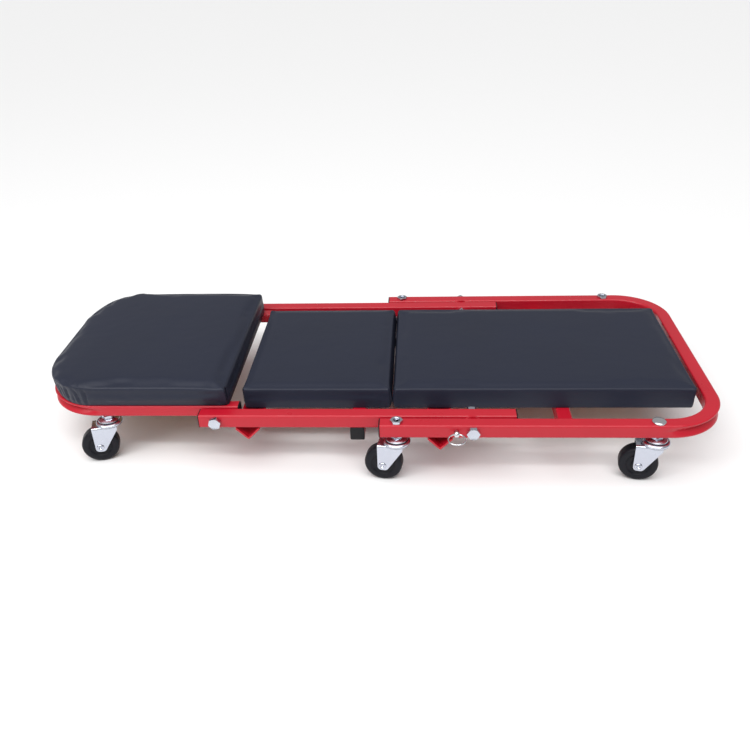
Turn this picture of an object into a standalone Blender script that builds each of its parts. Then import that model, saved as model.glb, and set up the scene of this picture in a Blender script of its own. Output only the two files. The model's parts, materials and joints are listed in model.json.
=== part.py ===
"""Folding mechanics creeper that turns into a rolling seat.

Three hinged sections of square tube lie in one line: base (four casters), middle, and
head (two casters). The floor is Z = 0, the length runs along X and the head is at -X.
All sizes are in metres.
"""

import math

import bpy
import bmesh
from mathutils import Matrix, Vector

# ---------------------------------------------------------------- driving sizes
TUBE = 0.019
HALF = TUBE / 2
WALL = 0.0015
TUBE_CORNER = 0.002
GAP = 0.0003
TUBE_MID_Z = 0.078
TUBE_TOP = TUBE_MID_Z + HALF
TUBE_BOTTOM = TUBE_MID_Z - HALF
WELD = 0.0002

# The head section's tube is lighter than the other two.
HEAD_TUBE = 0.016
HEAD_HALF = HEAD_TUBE / 2
HEAD_MID_Z = 0.0785
HEAD_TOP = HEAD_MID_Z + HEAD_HALF
HEAD_BOTTOM = HEAD_MID_Z - HEAD_HALF

PIVOT_MIDDLE_X = 0.1315
PIVOT_HEAD_X = -0.2045

# Centre lines of the three nested pairs of tubes, measured from the middle plane.
BASE_HALF_Y = 0.184
LINK_HALF_Y = 0.1615
ARM_HALF_Y = 0.139
BASE_GAP = BASE_HALF_Y - LINK_HALF_Y - TUBE

BASE_LEFT = 0.011
BASE_RIGHT = 0.4557
BASE_BEND = 0.0662
CROSSBAR_X = 0.2545
CROSSBAR_REACH = 0.182

LINK_LEFT = -0.228
LINK_RIGHT = 0.1895
CROSS_TUBE_X = -0.018

ARM_RIGHT = -0.177
HEAD_LEFT = -0.4557
HEAD_BEND = 0.075

CAP_PLATE = 0.0015
CAP_STUB = 0.010

# V-angles: each flank meets a tube face when its section is folded up.
ANGLE_LEG = 0.0230
ANGLE_THICK = 0.0025
ANGLE_TIP_DROP = 0.0277
ANGLE_OFFSET = ANGLE_TIP_DROP + (HALF + 0.00034) * math.sqrt(2.0)
BEAD_RADIUS = 0.0012
BEAD_REACH = 0.007

BOLT_RADIUS = 0.00475
BOLT_HOLE = 0.0051
BOLT_HEX = 0.0086
BOLT_HEAD = 0.006
NUT_HEX = 0.0084
NUT_DEEP = 0.0068
NUT_BORE = 0.00505
BOSS_RADIUS = 0.011

BOARD_Z = 0.069
BOARD_THICK = 0.009
PAD_TOP = 0.0985
PAD_HALF_Y = 0.121
BOARD_INSET = 0.003
BODY_PAD = (0.0297, 0.425)
MIDDLE_PAD = (-0.1745, 0.0228)
HEAD_PAD = (-0.4515, -0.1895)
HEAD_PAD_HALF_Y = 0.146
HEAD_PAD_TOP = 0.120
HEAD_PAD_EDGE = 0.008
HEAD_PAD_CORNER = 0.064
HEAD_PAD_SMALL_CORNER = 0.012
PAD_CORNER = 0.007
PAD_EDGE = 0.005
NUT_POCKET = 0.0092
NUT_POCKET_HIGH = 0.005

STEM_FRONT_X = 0.034
STEM_REAR_X = 0.363
STEM_HEAD_X = -0.3612
STEM_RADIUS = 0.004
STEM_HOLE = 0.0043
STEM_PROUD = 0.0009
STEM_NUT_HIGH = 0.0032
DOME_RADIUS = 0.0088
WHEEL_RADIUS = 0.025
TRAIL = 0.0175
LEG_BACK = 0.0240
LEG_INSIDE = 0.0102
LEG_OUTSIDE = 0.0124
AXLE_RADIUS = 0.003

# Heights and reach of the caster's pressed parts.
CUP_TOP = 0.0608
CUP_RADIUS = 0.0180
DECK_TOP = 0.0560
DECK_LOW = 0.0538
KING_HOLE = 0.0063
WHEEL_HALF = 0.0096

PIN_X = 0.1103
PIN_RADIUS = 0.003
PIN_HOLE = 0.00335
PIN_INNER = 0.1722
BALL_RADIUS = 0.0042
BALL_OUT = 0.1981
RING_RADIUS = 0.011
RING_WIRE = 0.001
RING_DROOP = math.radians(2.0)

# The middle plane is set so that the box round the object, ring included, is centred.
RING_REACH = BALL_OUT + 2 * RING_RADIUS * math.cos(RING_DROOP) + RING_WIRE
BOLT_REACH = BASE_HALF_Y + HALF + GAP + BOLT_HEAD
MID_Y = (RING_REACH - BOLT_REACH) / 2


# ---------------------------------------------------------------- helpers
def clear_scene():
    for thing in list(bpy.data.objects):
        bpy.data.objects.remove(thing, do_unlink=True)


def new_collection(name):
    made = bpy.data.collections.new(name)
    bpy.context.scene.collection.children.link(made)
    return made


def new_material(name, colour, metallic, roughness):
    made = bpy.data.materials.new(name)
    made.use_nodes = True
    made.diffuse_color = (*colour, 1.0)
    shader = made.node_tree.nodes["Principled BSDF"]
    shader.inputs["Base Color"].default_value = (*colour, 1.0)
    shader.inputs["Metallic"].default_value = metallic
    shader.inputs["Roughness"].default_value = roughness
    return made


def move_to(thing, collection):
    for holder in list(thing.users_collection):
        holder.objects.unlink(thing)
    collection.objects.link(thing)


def helper(thing):
    """Keep a solid that only shapes another one."""
    move_to(thing, CUTTERS)
    thing.hide_render = True
    thing.display_type = "WIRE"


def boolean(target, other, operation):
    modifier = target.modifiers.new(other.name, "BOOLEAN")
    modifier.operation = operation
    modifier.solver = "EXACT"
    modifier.object = other
    helper(other)


def weld(target, *others):
    for other in others:
        boolean(target, other, "UNION")


def cut(target, *others):
    for other in others:
        boolean(target, other, "DIFFERENCE")


def new_object(name, mesh):
    made = bpy.data.objects.new(name, mesh)
    bpy.context.scene.collection.objects.link(made)
    return made


def block(name, low, high):
    """A block between two opposite corners."""
    low = Vector(low)
    high = Vector(high)
    bpy.ops.mesh.primitive_cube_add(size=1.0, location=(low + high) / 2)
    made = bpy.context.object
    made.name = name
    made.scale = high - low
    bpy.ops.object.transform_apply(location=False, rotation=False, scale=True)
    return made


def rod(name, start, end, radius, vertices=16):
    """A round bar, or with vertices=6 a hexagonal one, between two points."""
    start = Vector(start)
    end = Vector(end)
    along = end - start
    turn = along.to_track_quat("Z", "Y").to_euler()
    bpy.ops.mesh.primitive_cylinder_add(
        vertices=vertices,
        radius=radius,
        depth=along.length,
        location=(start + end) / 2,
        rotation=turn,
    )
    made = bpy.context.object
    made.name = name
    return made


def lathe(name, profile, at, steps=24, ring=False, turn=(0.0, 0.0, 0.0)):
    """Turn a profile of (radius, height) points, listed from the top down."""
    points = [(radius, 0.0, height) for radius, height in profile]
    edges = [(i, i + 1) for i in range(len(points) - 1)]
    if ring:
        edges.append((len(points) - 1, 0))
    mesh = bpy.data.meshes.new(name)
    mesh.from_pydata(points, edges, [])
    made = new_object(name, mesh)
    made.location = at
    made.rotation_euler = turn
    modifier = made.modifiers.new("Turn", "SCREW")
    modifier.axis = "Z"
    modifier.steps = steps
    modifier.render_steps = steps
    modifier.use_merge_vertices = True
    modifier.merge_threshold = 0.00001
    modifier.use_smooth_shade = False
    return made


def arc(centre_x, centre_y, radius, start, end, steps=8):
    """Points on a level arc; angles are in degrees from +X."""
    found = []
    for i in range(steps + 1):
        angle = math.radians(start + (end - start) * i / steps)
        x = centre_x + radius * math.cos(angle)
        y = centre_y + radius * math.sin(angle)
        found.append((x, y))
    return found


def rounded(corners, radii, steps=4):
    """The corners of an outline, each replaced by an arc of its own radius."""
    outline = []
    count = len(corners)
    for i, corner in enumerate(corners):
        here = Vector(corner)
        back = (Vector(corners[i - 1]) - here).normalized()
        ahead = (Vector(corners[(i + 1) % count]) - here).normalized()
        if radii[i] == 0:
            outline.append(tuple(here))
            continue
        half_angle = back.angle(ahead) / 2
        reach = radii[i] / math.tan(half_angle)
        centre = here + (back + ahead).normalized() * (radii[i] / math.sin(half_angle))
        first = here + back * reach - centre
        last = here + ahead * reach - centre
        swing = first.angle_signed(last)
        for k in range(steps + 1):
            turned = Matrix.Rotation(-swing * k / steps, 2) @ first
            outline.append(tuple(centre + turned))
    return outline


def poly_curve(name, points, closed, flat):
    data = bpy.data.curves.new(name, "CURVE")
    data.dimensions = "2D" if flat else "3D"
    spline = data.splines.new("POLY")
    spline.points.add(len(points) - 1)
    for target, point in zip(spline.points, points):
        target.co = (*point, 1.0)
    spline.use_cyclic_u = closed
    return new_object(name, data)


def curve_to_mesh(curve, name):
    """Swap a curve object for the closed mesh that it draws."""
    graph = bpy.context.evaluated_depsgraph_get()
    mesh = bpy.data.meshes.new_from_object(curve.evaluated_get(graph))
    place = curve.matrix_basis.copy()
    bpy.data.objects.remove(curve, do_unlink=True)
    shape = bmesh.new()
    shape.from_mesh(mesh)
    bmesh.ops.remove_doubles(shape, verts=shape.verts, dist=0.000001)
    bmesh.ops.recalc_face_normals(shape, faces=shape.faces)
    shape.to_mesh(mesh)
    shape.free()
    made = new_object(name, mesh)
    made.matrix_basis = place
    return made


def sweep(name, path, side, corner):
    """A square bar of the given side bent along a level path."""
    half = side / 2
    square = [(half, half), (-half, half), (-half, -half), (half, -half)]
    section_points = [(x, y, 0.0) for x, y in rounded(square, [corner] * 4, 1)]
    section = poly_curve(name + "_section", section_points, True, True)
    section.data.fill_mode = "NONE"
    line = poly_curve(name + "_path", path, False, False)
    line.data.twist_mode = "Z_UP"
    line.data.bevel_mode = "OBJECT"
    line.data.bevel_object = section
    line.data.use_fill_caps = True
    bpy.context.view_layer.update()
    made = curve_to_mesh(line, name)
    bpy.data.objects.remove(section, do_unlink=True)
    return made


def plate(name, outline, thickness, at, turn=(0.0, 0.0, 0.0)):
    """A flat sheet of the given outline, centred on its own mid plane."""
    curve = poly_curve(name + "_outline", [(x, y, 0.0) for x, y in outline], True, True)
    curve.data.fill_mode = "BOTH"
    curve.data.extrude = thickness / 2
    curve.location = at
    curve.rotation_euler = turn
    bpy.context.view_layer.update()
    return curve_to_mesh(curve, name)


def soften(thing, width, segments=2):
    modifier = thing.modifiers.new("Soften", "BEVEL")
    modifier.width = width
    modifier.segments = segments
    modifier.limit_method = "ANGLE"
    modifier.angle_limit = math.radians(40.0)


def set_origin(thing, point):
    """Move the origin to a point and leave the shape where it is."""
    shift = thing.matrix_basis.inverted() @ Vector(point)
    thing.data.transform(Matrix.Translation(-shift))
    thing.matrix_basis = thing.matrix_basis @ Matrix.Translation(shift)


def empty_at(name, point, parent=None):
    made = new_object(name, None)
    made.location = point
    made.empty_display_size = 0.02
    move_to(made, CREEPER)
    if parent:
        attach(made, parent)
    return made


def world_point(thing):
    found = thing.location.copy()
    if thing.parent:
        found = thing.matrix_parent_inverse @ found + world_point(thing.parent)
    return found


def attach(thing, parent):
    thing.parent = parent
    thing.matrix_parent_inverse = Matrix.Translation(-world_point(parent))


def node(thing, name, material, parent=None, smooth=True):
    """Name a finished piece and give it its material and its place."""
    thing.name = name
    thing.data.name = name
    thing.data.materials.clear()
    thing.data.materials.append(material)
    if smooth and thing.data.polygons:
        thing.data.shade_smooth()
        thing.data.set_sharp_from_angle(angle=math.radians(35.0))
    move_to(thing, CREEPER)
    if parent:
        attach(thing, parent)
    return thing


def level(x, y, z):
    """A point given from the middle plane."""
    return (x, MID_Y + y, z)


# ---------------------------------------------------------------- tubes and welds
def path_at(points, z):
    return [level(x, y, z) for x, y in points]


def stretched(points, extra):
    """The same path with both ends run on by a little."""
    first = Vector(points[0])
    last = Vector(points[-1])
    out_first = (first - Vector(points[1])).normalized() * extra
    out_last = (last - Vector(points[-2])).normalized() * extra
    return [tuple(first + out_first), *points[1:-1], tuple(last + out_last)]


def tube(name, points, side=TUBE, z=TUBE_MID_Z):
    """A hollow square tube and the solid that hollows it, cut after any welding."""
    outside = sweep(name, path_at(points, z), side, TUBE_CORNER)
    bore_path = path_at(stretched(points, 0.003), z)
    inside = sweep(name + "_bore", bore_path, side - 2 * WALL, 0.0)
    return outside, inside


def v_angle(name, tip_x, half_length):
    """An angle iron lying corner down across the tubes."""
    leg = ANGLE_LEG / math.sqrt(2.0)
    step = ANGLE_THICK / math.sqrt(2.0)
    outline = [
        (0.0, 0.0),
        (leg, leg),
        (leg - step, leg + step),
        (0.0, 2 * step),
        (step - leg, leg + step),
        (-leg, leg),
    ]
    at = level(tip_x, 0.0, TUBE_MID_Z - ANGLE_TIP_DROP)
    return plate(name, outline, 2 * half_length, at, (math.pi / 2, 0.0, 0.0))


def weld_beads(name, tip_x, half_y):
    """Short beads that join an angle's upper edges to the tubes above."""
    reach = ANGLE_LEG / math.sqrt(2.0) - ANGLE_THICK / math.sqrt(2.0) + 0.0006
    found = []
    for i, side in enumerate((-1, 1)):
        for k, edge in enumerate((-1, 1)):
            x = tip_x + edge * reach
            start = level(x, side * (half_y - BEAD_REACH), TUBE_BOTTOM - WELD)
            end = level(x, side * (half_y + BEAD_REACH), TUBE_BOTTOM - WELD)
            found.append(rod(f"{name}_{i}{k}", start, end, BEAD_RADIUS, 10))
    return found


def upright_hole(name, x, y, radius):
    low = level(x, y, TUBE_BOTTOM - 0.004)
    high = level(x, y, TUBE_TOP + 0.004)
    return rod(name, low, high, radius)


def cross_hole(name, x, y, radius, reach=HALF):
    near = level(x, y - reach - 0.001, TUBE_MID_Z)
    far = level(x, y + reach + 0.001, TUBE_MID_Z)
    return rod(name, near, far, radius)


def end_cap(name, centre, outward, parent=None, side=TUBE):
    """A square plug: a plate over the tube end and a stub inside it."""
    centre = Vector(centre)
    outward = Vector(outward)
    across = Vector((abs(outward.y), abs(outward.x), 0.0))
    up = Vector((0.0, 0.0, 1.0))
    face = (across + up) * (side / 2)
    inner = (across + up) * (side / 2 - WALL - GAP)
    outer_end = centre
    plate_end = centre - outward * CAP_PLATE
    stub_end = plate_end - outward * CAP_STUB

    def between(label, start, end, half):
        low = [min(a, b) - h for a, b, h in zip(start, end, half)]
        high = [max(a, b) + h for a, b, h in zip(start, end, half)]
        return block(label, low, high)

    made = between(name, plate_end, outer_end, face)
    weld(made, between(name + "_stub", stub_end, plate_end + outward * 0.0002, inner))
    node(made, name, BLACK_PLASTIC, parent, smooth=False)


def build_base_frame():
    straight = BASE_RIGHT - HALF - BASE_BEND
    turn_y = BASE_HALF_Y - BASE_BEND
    start = BASE_LEFT + CAP_PLATE + GAP
    points = [(start, -BASE_HALF_Y)]
    points += arc(straight, -turn_y, BASE_BEND, -90.0, 0.0)
    points += arc(straight, turn_y, BASE_BEND, 0.0, 90.0)
    points += [(start, BASE_HALF_Y)]
    frame, bore = tube("base_frame", points)

    bar_top = TUBE_BOTTOM + WELD
    bar_low = (CROSSBAR_X - HALF, MID_Y - CROSSBAR_REACH, bar_top - TUBE)
    bar_high = (CROSSBAR_X + HALF, MID_Y + CROSSBAR_REACH, bar_top)
    bar = block("crossbar", bar_low, bar_high)
    for side in (-1, 1):
        wedge = block("mitre", (-0.03, -0.02, -0.04), (0.03, 0.02, 0.0))
        set_origin(wedge, (0.0, 0.0, 0.0))
        wedge.location = level(CROSSBAR_X, side * CROSSBAR_REACH, bar_top - 0.001)
        wedge.rotation_euler = (side * math.radians(45.0), 0.0, 0.0)
        cut(bar, wedge)
    inset = HALF - WALL
    bore_low = (CROSSBAR_X - inset, MID_Y - 0.19, bar_top - TUBE + WALL)
    bore_high = (CROSSBAR_X + inset, MID_Y + 0.19, bar_top - WALL)
    bar_bore = block("crossbar_bore", bore_low, bore_high)
    weld(frame, bar)

    tip_x = PIVOT_MIDDLE_X - ANGLE_OFFSET
    weld(frame, v_angle("base_angle", tip_x, BASE_HALF_Y + HALF))
    weld(frame, *weld_beads("base_bead", tip_x, BASE_HALF_Y))
    for side in (-1, 1):
        boss_start = level(PIVOT_MIDDLE_X, side * (LINK_HALF_Y + HALF + GAP), TUBE_MID_Z)
        boss_end = level(PIVOT_MIDDLE_X, side * (BASE_HALF_Y - HALF + WELD), TUBE_MID_Z)
        weld(frame, rod("pivot_boss", boss_start, boss_end, BOSS_RADIUS))
    cut(frame, bore, bar_bore)
    for side in (-1, 1):
        y = side * BASE_HALF_Y
        cut(frame, upright_hole("front_stem_hole", STEM_FRONT_X, y, STEM_HOLE))
        cut(frame, upright_hole("rear_stem_hole", STEM_REAR_X, y, STEM_HOLE))
        boss_y = side * (BASE_HALF_Y - BASE_GAP / 2)
        boss_reach = HALF + BASE_GAP
        hole = ("middle_pivot_hole", PIVOT_MIDDLE_X, boss_y, BOLT_HOLE, boss_reach)
        cut(frame, cross_hole(*hole))
    cut(frame, cross_hole("pin_hole", PIN_X, -BASE_HALF_Y, PIN_HOLE))
    node(frame, "base_frame", RED_PAINT)
    for side, label in ((-1, "near"), (1, "far")):
        end = level(BASE_LEFT, side * BASE_HALF_Y, TUBE_MID_Z)
        end_cap("base_end_cap_" + label, end, (-1.0, 0.0, 0.0))


def build_middle_frame(parent):
    trim = CAP_PLATE + GAP
    pieces = []
    for side, label in ((-1, "near"), (1, "far")):
        y = side * LINK_HALF_Y
        ends = [(LINK_LEFT + trim, y), (LINK_RIGHT - trim, y)]
        pieces.append(tube("link_" + label, ends))
    frame, bore = pieces[0]
    other, other_bore = pieces[1]

    top = TUBE_BOTTOM + WELD
    reach = LINK_HALF_Y + HALF - trim
    low = (CROSS_TUBE_X - HALF, MID_Y - reach, top - TUBE)
    high = (CROSS_TUBE_X + HALF, MID_Y + reach, top)
    cross = block("cross_tube", low, high)
    inset = HALF - WALL
    bore_low = (CROSS_TUBE_X - inset, MID_Y - 0.19, top - TUBE + WALL)
    bore_high = (CROSS_TUBE_X + inset, MID_Y + 0.19, top - WALL)
    cross_bore = block("cross_tube_bore", bore_low, bore_high)
    weld(frame, cross)
    tip_x = PIVOT_HEAD_X + ANGLE_OFFSET
    weld(frame, v_angle("link_angle", tip_x, LINK_HALF_Y + HALF))
    weld(frame, *weld_beads("link_bead", tip_x, LINK_HALF_Y))
    weld(frame, other)
    cut(frame, bore, other_bore, cross_bore)
    for side in (-1, 1):
        y = side * LINK_HALF_Y
        cut(frame, cross_hole("link_middle_hole", PIVOT_MIDDLE_X, y, BOLT_HOLE))
        cut(frame, cross_hole("link_head_hole", PIVOT_HEAD_X, y, BOLT_HOLE))
    cut(frame, cross_hole("link_pin_hole", PIN_X, -LINK_HALF_Y, PIN_HOLE))
    node(frame, "middle_frame", RED_PAINT, parent)

    cross_mid_z = top - HALF
    for side, label in ((-1, "near"), (1, "far")):
        y = side * LINK_HALF_Y
        left = level(LINK_LEFT, y, TUBE_MID_Z)
        right = level(LINK_RIGHT, y, TUBE_MID_Z)
        end_cap("link_end_cap_left_" + label, left, (-1.0, 0.0, 0.0), parent)
        end_cap("link_end_cap_right_" + label, right, (1.0, 0.0, 0.0), parent)
        open_end = level(CROSS_TUBE_X, side * (LINK_HALF_Y + HALF), cross_mid_z)
        end_cap("cross_end_cap_" + label, open_end, (0.0, float(side), 0.0), parent)


def build_head_frame(parent):
    straight = HEAD_LEFT + HEAD_HALF + HEAD_BEND
    turn_y = ARM_HALF_Y - HEAD_BEND
    start = ARM_RIGHT - CAP_PLATE - GAP
    points = [(start, -ARM_HALF_Y)]
    points += arc(straight, -turn_y, HEAD_BEND, 270.0, 180.0)
    points += arc(straight, turn_y, HEAD_BEND, 180.0, 90.0)
    points += [(start, ARM_HALF_Y)]
    frame, bore = tube("head_frame", points, HEAD_TUBE, HEAD_MID_Z)
    cut(frame, bore)
    for side in (-1, 1):
        y = side * ARM_HALF_Y
        cut(frame, upright_hole("head_stem_hole", STEM_HEAD_X, y, STEM_HOLE))
        cut(frame, cross_hole("head_pivot_hole", PIVOT_HEAD_X, y, BOLT_HOLE))
    node(frame, "head_frame", RED_PAINT, parent)
    for side, label in ((-1, "near"), (1, "far")):
        end = level(ARM_RIGHT, side * ARM_HALF_Y, HEAD_MID_Z)
        end_cap("head_end_cap_" + label, end, (1.0, 0.0, 0.0), parent, HEAD_TUBE)


# ---------------------------------------------------------------- pads
def pad_outline(left, right, half_y, left_corner, right_corner, steps):
    corners = [(left, -half_y), (right, -half_y), (right, half_y), (left, half_y)]
    radii = [left_corner, right_corner, right_corner, left_corner]
    return rounded(corners, radii, steps)


def build_pad(name, span, half_y, base_z, top, corners, edge, parent=None, steps=4):
    """A stiff board with a vinyl-covered foam cushion on it."""
    left, right = span
    inset = BOARD_INSET
    board_outline = pad_outline(
        left + inset,
        right - inset,
        half_y - inset,
        corners[0] - inset,
        corners[1] - inset,
        steps,
    )
    board_mid = (0.0, MID_Y, base_z + BOARD_THICK / 2)
    board = plate(name + "_board", board_outline, BOARD_THICK, board_mid)
    low = base_z + BOARD_THICK + GAP
    outline = pad_outline(left, right, half_y, corners[0], corners[1], steps)
    cushion = plate(name + "_cushion", outline, top - low, (0.0, MID_Y, (low + top) / 2))
    soften(cushion, edge, 2)
    node(board, name + "_board", BOARD, parent)
    node(cushion, name + "_cushion", VINYL, parent)
    return board


def build_pads(middle, head):
    square = (PAD_CORNER, PAD_CORNER)
    build_pad("body", BODY_PAD, PAD_HALF_Y, BOARD_Z, PAD_TOP, square, PAD_EDGE)
    build_pad(
        "middle", MIDDLE_PAD, PAD_HALF_Y, BOARD_Z, PAD_TOP, square, PAD_EDGE, middle
    )
    board = build_pad(
        "head",
        HEAD_PAD,
        HEAD_PAD_HALF_Y,
        HEAD_TOP + GAP,
        HEAD_PAD_TOP,
        (HEAD_PAD_CORNER, HEAD_PAD_SMALL_CORNER),
        HEAD_PAD_EDGE,
        head,
        8,
    )
    for side in (-1, 1):
        low = level(STEM_HEAD_X, side * ARM_HALF_Y, HEAD_TOP - 0.002)
        high = level(STEM_HEAD_X, side * ARM_HALF_Y, HEAD_TOP + NUT_POCKET_HIGH)
        cut(board, rod("nut_pocket", low, high, NUT_POCKET))


# ---------------------------------------------------------------- fasteners
def hex_nut(name, start, end, bore, parent=None):
    made = rod(name, start, end, NUT_HEX, 6)
    start = Vector(start)
    end = Vector(end)
    past = (end - start).normalized() * 0.002
    cut(made, rod(name + "_bore", start - past, end + past, bore, 16))
    node(made, name, ZINC, parent, smooth=False)


def pivot_bolt(label, x, face_y, inner_y, side, parent=None):
    """A hex bolt through two tubes, its head outside and its nut inside."""
    head_in = face_y + GAP
    head_out = head_in + BOLT_HEAD
    nut_out = inner_y - GAP
    nut_in = nut_out - NUT_DEEP
    z = TUBE_MID_Z
    start = level(x, side * head_in, z)
    end = level(x, side * head_out, z)
    bolt = rod("pivot_bolt_" + label, start, end, BOLT_HEX, 6)
    shank_end = level(x, side * (nut_in - 0.001), z)
    shank_start = level(x, side * (head_in + 0.002), z)
    weld(bolt, rod("shank", shank_end, shank_start, BOLT_RADIUS, 16))
    node(bolt, "pivot_bolt_" + label, ZINC, parent, smooth=False)
    nut_start = level(x, side * nut_in, z)
    nut_end = level(x, side * nut_out, z)
    hex_nut("pivot_nut_" + label, nut_start, nut_end, NUT_BORE, parent)


def build_pivots(middle):
    for side, label in ((-1, "near"), (1, "far")):
        pivot_bolt(
            "middle_" + label,
            PIVOT_MIDDLE_X,
            BASE_HALF_Y + HALF,
            LINK_HALF_Y - HALF,
            side,
        )
        pivot_bolt(
            "head_" + label,
            PIVOT_HEAD_X,
            LINK_HALF_Y + HALF,
            ARM_HALF_Y - HEAD_HALF,
            side,
            middle,
        )


def build_lock():
    """A ball-headed pull pin with a wire ring through the ball."""
    ball_at = Vector(level(PIN_X, -BALL_OUT, TUBE_MID_Z))
    tip = level(PIN_X, -PIN_INNER, TUBE_MID_Z)
    pin = rod("lock_pin", tip, ball_at, PIN_RADIUS, 16)
    bpy.ops.mesh.primitive_uv_sphere_add(
        segments=14,
        ring_count=8,
        radius=BALL_RADIUS,
        location=ball_at,
    )
    weld(pin, bpy.context.object)
    reach = Vector((0.007, 0.0, 0.0))
    cut(pin, rod("ring_hole", ball_at - reach, ball_at + reach, 0.0021, 12))
    set_origin(pin, ball_at)
    node(pin, "lock_pin", CHROME)

    out = Vector((0.0, -math.cos(RING_DROOP), -math.sin(RING_DROOP)))
    bpy.ops.mesh.primitive_torus_add(
        major_segments=28,
        minor_segments=6,
        major_radius=RING_RADIUS,
        minor_radius=RING_WIRE,
        location=ball_at + out * RING_RADIUS,
        rotation=(RING_DROOP, 0.0, 0.0),
    )
    ring = bpy.context.object
    set_origin(ring, ball_at)
    node(ring, "lock_ring", CHROME)


# ---------------------------------------------------------------- casters
def build_stem(tag, x, y, tube_bottom, tube_top, parent):
    collar = tube_bottom - GAP
    top = tube_top + STEM_PROUD
    profile = [
        (0.0, top),
        (STEM_RADIUS - 0.0006, top),
        (STEM_RADIUS, top - 0.0006),
        (STEM_RADIUS, collar),
        (0.008, collar),
        (0.008, 0.0650),
        (0.0142, 0.0636),
        (0.0142, 0.0616),
        (0.0055, 0.0616),
        (0.0055, 0.0536),
        (0.0080, 0.0536),
        (0.0072, 0.0514),
        (0.0, 0.0511),
    ]
    stem = lathe("stem_" + tag, profile, level(x, y, 0.0), 12)
    node(stem, "stem_" + tag, ZINC, parent)


def build_stem_nut(tag, x, y, tube_top, domed, parent):
    low = tube_top + GAP
    name = "stem_nut_" + tag
    if not domed:
        start = level(x, y, low)
        end = level(x, y, low + STEM_NUT_HIGH)
        hex_nut(name, start, end, STEM_HOLE, parent)
        return
    profile = [
        (0.0, low + STEM_NUT_HIGH),
        (0.0045, low + 0.0029),
        (0.0074, low + 0.0018),
        (DOME_RADIUS, low + 0.0006),
        (DOME_RADIUS, low),
        (STEM_HOLE, low),
        (STEM_HOLE, low + 0.0012),
        (0.0, low + 0.0012),
    ]
    cap = lathe(name, profile, level(x, y, 0.0), 16)
    node(cap, name, CHROME, parent)


def build_fork(tag, x, y, pivot):
    """A raceway cup on a plate that folds down into two tapered legs."""
    cup_profile = [
        (0.0059, CUP_TOP),
        (0.0150, CUP_TOP + 0.0002),
        (CUP_RADIUS, 0.0590),
        (CUP_RADIUS, 0.0574),
        (0.0166, 0.0545),
        (0.0059, 0.0545),
    ]
    fork = lathe("caster_fork_" + tag, cup_profile, level(x, y, 0.0), 16, ring=True)
    deck_half = LEG_OUTSIDE - GAP
    deck_low = level(x - LEG_BACK + GAP, y - deck_half, DECK_LOW)
    deck_high = level(x + 0.0088, y + deck_half, DECK_TOP)
    weld(fork, block("fork_deck_" + tag, deck_low, deck_high))
    corners = [
        (-LEG_BACK, 0.0557),
        (-LEG_BACK, 0.0185),
        (LEG_BACK - 2 * TRAIL - 0.001, 0.0178),
        (0.0092, 0.0510),
        (0.0092, 0.0557),
    ]
    outline = rounded(corners, [0.0, 0.0062, 0.0060, 0.0, 0.0], 3)
    thick = LEG_OUTSIDE - LEG_INSIDE
    for side in (-1, 1):
        leg_y = y + side * (LEG_INSIDE + thick / 2)
        at = level(x, leg_y, 0.0)
        weld(fork, plate("leg_" + tag, outline, thick, at, (math.pi / 2, 0.0, 0.0)))
    past = LEG_OUTSIDE + 0.008
    near = level(x - TRAIL, y - past, WHEEL_RADIUS)
    far = level(x - TRAIL, y + past, WHEEL_RADIUS)
    cut(fork, rod("axle_hole_" + tag, near, far, AXLE_RADIUS + 0.0002, 12))
    king_low = level(x, y, DECK_LOW - 0.0018)
    king_high = level(x, y, DECK_TOP + 0.0015)
    cut(fork, rod("king_hole_" + tag, king_low, king_high, KING_HOLE))
    node(fork, "caster_fork_" + tag, ZINC, pivot, smooth=False)
    for modifier in fork.modifiers:
        if modifier.type == "BOOLEAN":
            attach(modifier.object, pivot)


def build_wheel(tag, x, y, pivot):
    side_profile = [
        (0.0033, WHEEL_HALF),
        (0.0085, WHEEL_HALF),
        (0.0095, 0.0074),
        (0.0145, 0.0074),
        (0.0160, 0.0090),
        (0.0232, 0.0090),
        (WHEEL_RADIUS, 0.0060),
    ]
    mirrored = [(radius, -depth) for radius, depth in reversed(side_profile)]
    profile = side_profile + mirrored
    at = level(x - TRAIL, y, WHEEL_RADIUS)
    upright = (math.pi / 2, 0.0, 0.0)
    wheel = lathe("caster_wheel_" + tag, profile, at, 20, ring=True, turn=upright)
    node(wheel, "caster_wheel_" + tag, RUBBER, pivot)
    half_rivet = [
        (0.0, 0.0143),
        (0.0036, 0.0138),
        (0.0050, 0.0127),
        (AXLE_RADIUS, 0.0127),
    ]
    rivet = half_rivet + [(radius, -depth) for radius, depth in reversed(half_rivet)]
    axle = lathe("caster_axle_" + tag, rivet, at, 12, turn=upright)
    node(axle, "caster_axle_" + tag, ZINC, pivot)


def build_caster(tag, x, y, parent=None, swivel=0.0, domed=False):
    """A whole caster, its wheel trailing towards the head end before the swivel."""
    on_head = tag.startswith("head")
    tube_bottom = HEAD_BOTTOM if on_head else TUBE_BOTTOM
    tube_top = HEAD_TOP if on_head else TUBE_TOP
    build_stem(tag, x, y, tube_bottom, tube_top, parent)
    build_stem_nut(tag, x, y, tube_top, domed, parent)
    pivot = empty_at("swivel_" + tag, level(x, y, WHEEL_RADIUS), parent)
    build_fork(tag, x, y, pivot)
    build_wheel(tag, x, y, pivot)
    pivot.rotation_euler.z = math.radians(swivel)


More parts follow.
